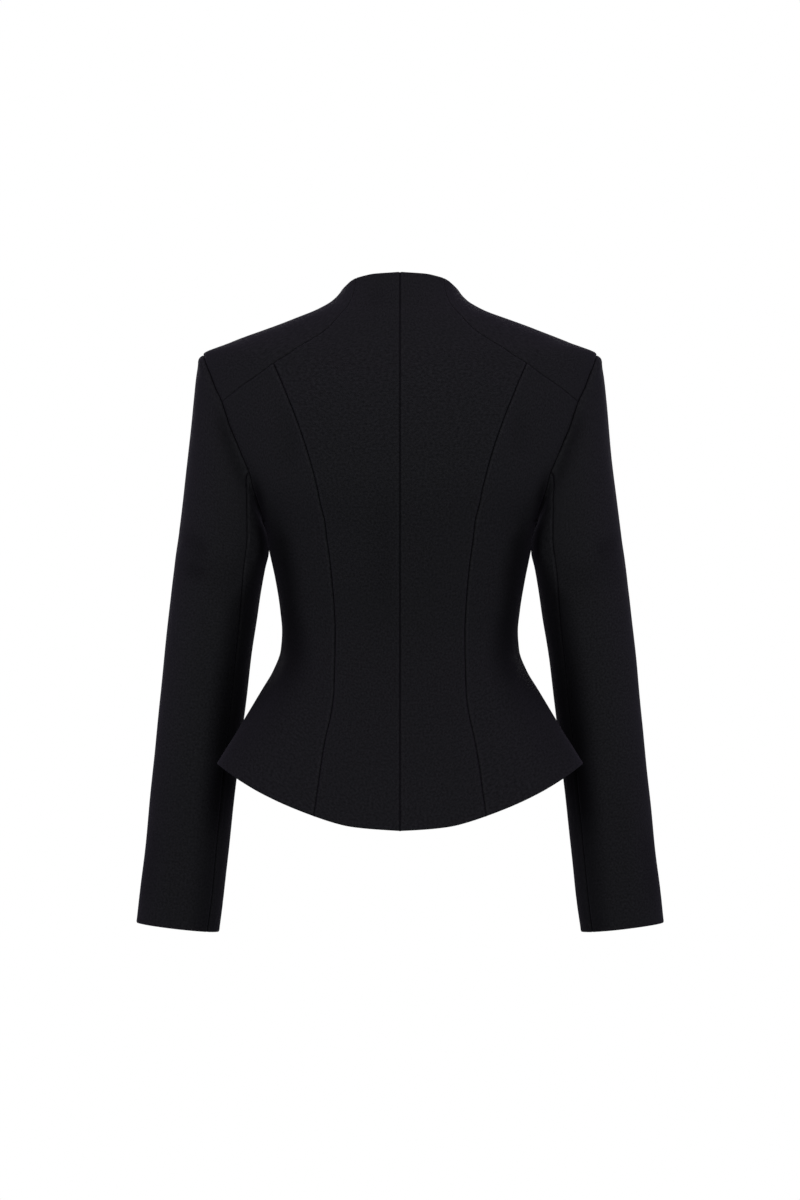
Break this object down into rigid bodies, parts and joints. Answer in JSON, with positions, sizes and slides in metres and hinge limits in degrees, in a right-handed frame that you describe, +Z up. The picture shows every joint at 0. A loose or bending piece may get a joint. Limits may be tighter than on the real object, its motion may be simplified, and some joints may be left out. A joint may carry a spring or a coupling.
{
  "type": "wrap blazer",
  "caption": "Fitted wrap blazer in its worn hollow form, with straight shoulders, long two-piece sleeves, princess seams and a flared peplum that dips at the back.",
  "frame": {"origin": "on the centre plane, level with the side of the neck, above the middle of the shoulder line, where a wearer's shoulders hold the garment", "axes": "+Z up, -Y out of the garment's back, +Y out of its wrapped front, +X towards its right side"},
  "size_m": [0.5656, 0.2776, 0.6998],
  "materials": {
    "black_crepe": "matte black crepe with a faint sheen"
  },
  "bodies": {
    "root": {"right_back_centre": "black_crepe", "left_back_centre": "black_crepe", "right_back_side": "black_crepe", "left_back_side": "black_crepe", "right_front": "black_crepe", "left_front": "black_crepe", "right_front_side": "black_crepe", "left_front_side": "black_crepe", "right_upper_sleeve": "black_crepe", "left_upper_sleeve": "black_crepe", "right_under_sleeve": "black_crepe", "left_under_sleeve": "black_crepe"}
  },
  "joints": []
}
